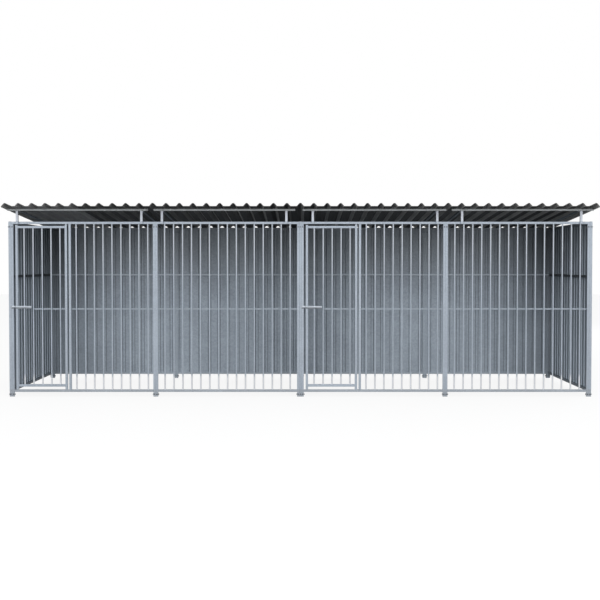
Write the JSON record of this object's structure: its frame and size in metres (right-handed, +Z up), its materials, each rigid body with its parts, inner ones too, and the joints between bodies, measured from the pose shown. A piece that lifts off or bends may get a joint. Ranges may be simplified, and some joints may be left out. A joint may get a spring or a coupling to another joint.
{
  "type": "outdoor dog kennel run",
  "caption": "Double outdoor dog run of galvanised tube with barred fronts, hinged bolted doors, ribbed steel walls and a black pitched ribbed roof.",
  "frame": {"origin": "on the ground, under the middle of the roof's outline", "axes": "+X to the right along the front, +Y from the front to the back, +Z up"},
  "size_m": [6.099, 2.3728, 2.0064],
  "materials": {
    "galvanised_tube": "hot-dip galvanised, satin with a fine spangle",
    "galvanised_bar": "hot-dip galvanised, satin",
    "galvanised_sheet": "galvanised ribbed sheet, dull spangle",
    "black_roof": "matt black coated ribbed sheet",
    "grey_purlin": "dull galvanised tube",
    "bright_zinc": "bright zinc plate",
    "dull_fixing": "dull plated bolts and nuts",
    "grey_foot": "pale grey moulded plastic",
    "grey_plastic": "grey moulded plastic"
  },
  "bodies": {
    "kennel": {"front_frame_1": "galvanised_tube", "front_bars_1": "galvanised_bar", "front_frame_2": "galvanised_tube", "front_bars_2": "galvanised_bar", "front_frame_3": "galvanised_tube", "front_bars_3": "galvanised_bar", "front_frame_4": "galvanised_tube", "front_bars_4": "galvanised_bar", "latch_keepers": "bright_zinc", "pivot_bushes": "bright_zinc", "back_frame_1": "galvanised_tube", "back_sheet_1": "galvanised_sheet", "back_frame_2": "galvanised_tube", "back_sheet_2": "galvanised_sheet", "back_frame_3": "galvanised_tube", "back_sheet_3": "galvanised_sheet", "back_frame_4": "galvanised_tube", "back_sheet_4": "galvanised_sheet", "side_frame_left": "galvanised_tube", "side_sheet_left": "galvanised_sheet", "side_frame_right": "galvanised_tube", "side_sheet_right": "galvanised_sheet", "partition_frame": "galvanised_tube", "partition_sheet": "galvanised_sheet", "roof_sheet_1": "black_roof", "roof_purlin_1": "grey_purlin", "roof_rafters_1": "galvanised_tube", "roof_uprights_1": "galvanised_tube", "roof_sheet_2": "black_roof", "roof_purlin_2": "grey_purlin", "roof_rafters_2": "galvanised_tube", "roof_uprights_2": "galvanised_tube", "roof_sheet_3": "black_roof", "roof_purlin_3": "grey_purlin", "roof_rafters_3": "galvanised_tube", "roof_uprights_3": "galvanised_tube", "roof_sheet_4": "black_roof", "roof_purlin_4": "grey_purlin", "roof_rafters_4": "galvanised_tube", "roof_uprights_4": "galvanised_tube", "panel_bolts": "dull_fixing", "panel_nuts": "dull_fixing", "feet": "grey_foot", "end_caps": "grey_plastic"},
    "door_left": {"door_frame_left": "galvanised_tube", "door_bars_left": "galvanised_bar", "door_pivots_left": "bright_zinc", "door_caps_left": "grey_plastic", "latch_body_left": "bright_zinc"},
    "latch_left": {"latch_bolt_left": "bright_zinc"},
    "door_right": {"door_frame_right": "galvanised_tube", "door_bars_right": "galvanised_bar", "door_pivots_right": "bright_zinc", "door_caps_right": "grey_plastic", "latch_body_right": "bright_zinc"},
    "latch_right": {"latch_bolt_right": "bright_zinc"}
  },
  "joints": [
    {"name": "door_left_hinge", "type": "hinge", "parent": "kennel", "child": "door_left", "pos_m": [-2.44, -0.9183, 0.9125], "axis": [0, 0, 1], "range_deg": [0, 110]},
    {"name": "latch_left_slide", "type": "slide", "parent": "door_left", "child": "latch_left", "axis": [-1, 0, 0], "range_m": [0, 0.034]},
    {"name": "door_right_hinge", "type": "hinge", "parent": "kennel", "child": "door_right", "pos_m": [0.58, -0.9183, 0.9125], "axis": [0, 0, 1], "range_deg": [0, 110]},
    {"name": "latch_right_slide", "type": "slide", "parent": "door_right", "child": "latch_right", "axis": [-1, 0, 0], "range_m": [0, 0.034]}
  ]
}
